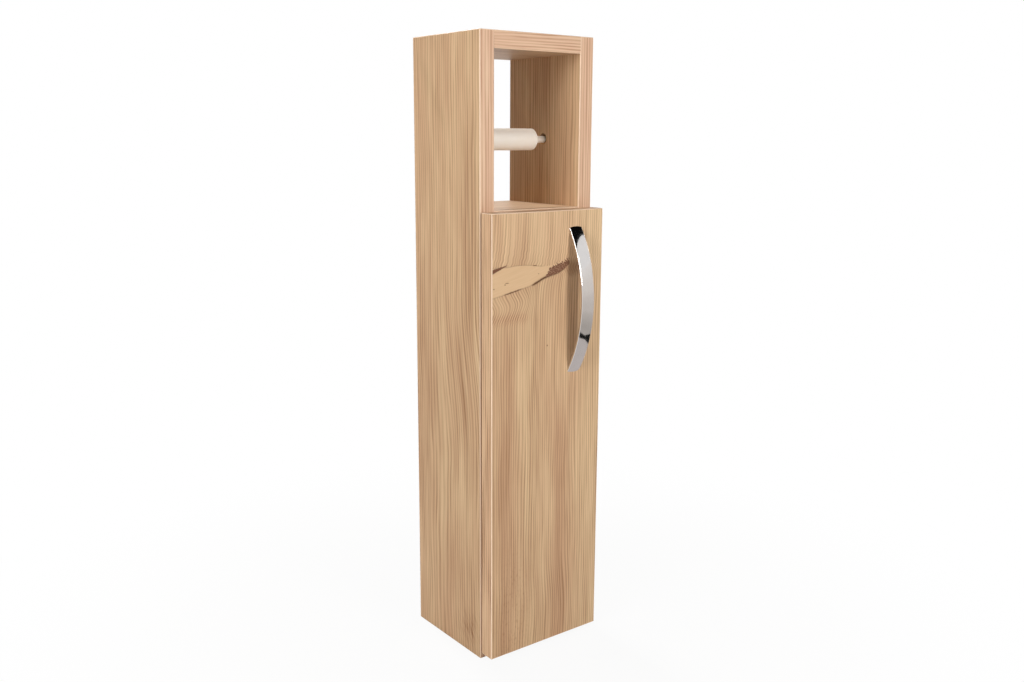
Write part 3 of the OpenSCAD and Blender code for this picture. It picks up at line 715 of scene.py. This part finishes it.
paper.links.new(glow.outputs[0], either_floor.inputs[2])
paper.links.new(either_floor.outputs[0], paper.nodes["Material Output"].inputs["Surface"])
floor_corners = [(-FLOOR_HALF, -FLOOR_HALF, 0), (FLOOR_HALF, -FLOOR_HALF, 0),
                 (FLOOR_HALF, FLOOR_HALF, 0), (-FLOOR_HALF, FLOOR_HALF, 0)]
floor_mesh = bpy.data.meshes.new("floor")
floor_mesh.from_pydata(floor_corners, [], [(0, 1, 2, 3)])
floor_mesh.materials.append(floor_paint)
floor = bpy.data.objects.new("floor", floor_mesh)
bpy.context.scene.collection.objects.link(floor)


def lamp(name, place, target, width, height, watts):
    """A soft box at this place, turned to the target, that the camera doesn't see."""
    data = bpy.data.lights.new(name, "AREA")
    data.shape = "RECTANGLE"
    data.size = width
    data.size_y = height
    data.energy = watts
    box = bpy.data.objects.new(name, data)
    box.location = place
    box.rotation_euler = (Vector(target) - Vector(place)).to_track_quat("-Z", "Y").to_euler()
    box.visible_camera = False
    bpy.context.scene.collection.objects.link(box)


# Each lamp's place, its target, its width and height, all in metres, and its watts.
lamp("front_lamp", (0.25, -1.9, 0.95), (0, -0.06, 0.42), 0.5, 0.8, 20.6)
lamp("left_lamp", (-1.93, -0.58, 1.0), (0, 0, 0.46), 0.9, 1.1, 29.2)
lamp("right_lamp", (1.95, 0.4, 0.9), (0.07, 0, 0.36), 0.8, 1.0, 9)
lamp("rear_lamp", (0.05, 1.45, 2.1), (0, 0, 0.56), 0.35, 0.35, 34)


def card(name, corners, faces, grey):
    """A panel of the dim studio that shows only in shiny surfaces."""
    paint = bpy.data.materials.new(name)
    paint.use_nodes = True
    paint.node_tree.nodes.clear()
    shine = paint.node_tree.nodes.new("ShaderNodeEmission")
    shine.inputs["Color"].default_value = (grey, grey, grey, 1)
    end = paint.node_tree.nodes.new("ShaderNodeOutputMaterial")
    paint.node_tree.links.new(shine.outputs[0], end.inputs["Surface"])
    mesh = bpy.data.meshes.new(name)
    mesh.from_pydata(corners, [], faces)
    mesh.materials.append(paint)
    panel = bpy.data.objects.new(name, mesh)
    for way in ("camera", "diffuse", "transmission", "volume_scatter", "shadow"):
        setattr(panel, "visible_" + way, False)
    bpy.context.scene.collection.objects.link(panel)
    return panel


def around(turn, away):
    """The place across the floor at this distance, turned by these degrees from +X."""
    return away * math.cos(math.radians(turn)), away * math.sin(math.radians(turn))


# A dim ceiling: a part of a ball round the handle, with a turn and a lowest lift for each
# column of its corners, in degrees. It makes the dark wedge at the handle's top.
ball_centre = Vector((0.036, -0.09, 0.46))
ball_r = 2.6
ceiling_top = 86
ceiling_foot = [(-110, 28), (-70, 28), (-58, 31), (-52, 32.8), (-45, 33.4), (-36, 33),
                (-29, 31.6), (-23, 29), (-10, 25), (20, 24), (50, 24)]
ceiling_corners = []
for turn, foot in ceiling_foot:
    for lift in (foot, (foot + ceiling_top) / 2, ceiling_top):
        flat_x, flat_y = around(turn, math.cos(math.radians(lift)))
        way = Vector((flat_x, flat_y, math.sin(math.radians(lift))))
        ceiling_corners.append(ball_centre + way * ball_r)
ceiling_faces = []
for column in range(len(ceiling_foot) - 1):
    for row in range(2):
        first = column * 3 + row
        ceiling_faces.append((first, first + 3, first + 4, first + 1))
card("dim_ceiling", ceiling_corners, ceiling_faces, 0.004)

# A dim strip just over the floor, round the handle: a turn, and its near and far edges.
handle_x, handle_y = 0.036, -0.104
gap_lift = 0.006
gap_edges = [(-75, 0.49, 0.62), (-58, 0.50, 0.60), (-50, 0.505, 0.59), (-42, 0.52, 0.586),
             (-34, 0.53, 0.627), (-26, 0.53, 0.675), (-19, 0.545, 0.70), (0, 0.56, 0.72)]
gap_corners = []
for turn, near, far in gap_edges:
    for away in (near, far):
        out_x, out_y = around(turn, away)
        gap_corners.append((handle_x + out_x, handle_y + out_y, gap_lift))
gap_faces = [(at, at + 1, at + 3, at + 2) for at in range(0, len(gap_corners) - 2, 2)]
card("floor_gap", gap_corners, gap_faces, 0.01)


def shaded_card(name, corners, faces, measure, stops):
    """A card whose colour changes with a measured place on it: stops are places and colours."""
    panel = card(name, corners, faces, 1.0)
    tree = panel.data.materials[0].node_tree
    place = tree.nodes.new("ShaderNodeTexCoord").outputs["Object"]
    if measure == "reach":
        gauge = tree.nodes.new("ShaderNodeVectorMath")
        gauge.operation = "LENGTH"
        found = gauge.outputs["Value"]
    else:
        gauge = tree.nodes.new("ShaderNodeSeparateXYZ")
        found = gauge.outputs["Z"]
    tree.links.new(place, gauge.inputs[0])
    share = tree.nodes.new("ShaderNodeMapRange")
    share.inputs["From Min"].default_value = stops[0][0]
    share.inputs["From Max"].default_value = stops[-1][0]
    tree.links.new(found, share.inputs["Value"])
    ramp = tree.nodes.new("ShaderNodeValToRGB")
    marks = ramp.color_ramp.elements
    for _ in stops[2:]:
        marks.new(0.5)
    for mark, (at, colour) in zip(marks, stops):
        mark.position = (at - stops[0][0]) / (stops[-1][0] - stops[0][0])
        mark.color = (*colour, 1)
    tree.links.new(share.outputs["Result"], ramp.inputs[0])
    tree.links.new(ramp.outputs["Color"], tree.nodes["Emission"].inputs["Color"])
    return panel


# A grey sheet over the floor in front, and a pale wall round its far edge, for the greys
# that the chrome shows below and above the horizon.
fan_r = 7
fan = [(*around(turn, fan_r), 0) for turn in range(-100, 21, 20)]
sheen_lift = 0.004
sheen_faces = [(0, at, at + 1) for at in range(1, len(fan))]
sheen = shaded_card("floor_sheen", [(0, 0, 0)] + fan, sheen_faces, "reach",
                    [(0.45, (0.64, 0.60, 0.59)), (0.72, (0.50, 0.47, 0.44)),
                     (1.45, (0.71, 0.67, 0.63)), (6.0, (0.84, 0.79, 0.75))])
sheen.location = (handle_x, handle_y, sheen_lift)
wall_share, wall_foot, wall_top = 0.98, -0.1, 2.2
haze_corners = [(x * wall_share, y * wall_share, z)
                for z in (wall_foot, wall_top) for x, y, _ in fan]
haze_faces = [(at, at + 1, at + 1 + len(fan), at + len(fan)) for at in range(len(fan) - 1)]
haze = shaded_card("far_haze", haze_corners, haze_faces, "height",
                   [(0.0, (0.84, 0.79, 0.75)), (0.9, (0.90, 0.86, 0.82)),
                    (2.2, (1.0, 0.98, 0.96))])
haze.location = (handle_x, handle_y, 0.0)


# Camera: a 35 mm lens on a full-frame sensor, standing where the photograph was taken
# from. It looks a little down, and its shift is small.

camera_data = bpy.data.cameras.new("camera")
camera_data.sensor_width = 36
camera_data.lens = 35.404
camera_data.shift_y = -0.01074
camera = bpy.data.objects.new("camera", camera_data)
camera.location = (-0.672205, -0.902828, 0.572520)
camera.rotation_euler = [math.radians(turn) for turn in (79.00215, -0.26466, -37.19843)]
bpy.context.scene.collection.objects.link(camera)
bpy.context.scene.camera = camera
bpy.context.scene.view_settings.view_transform = "Standard"
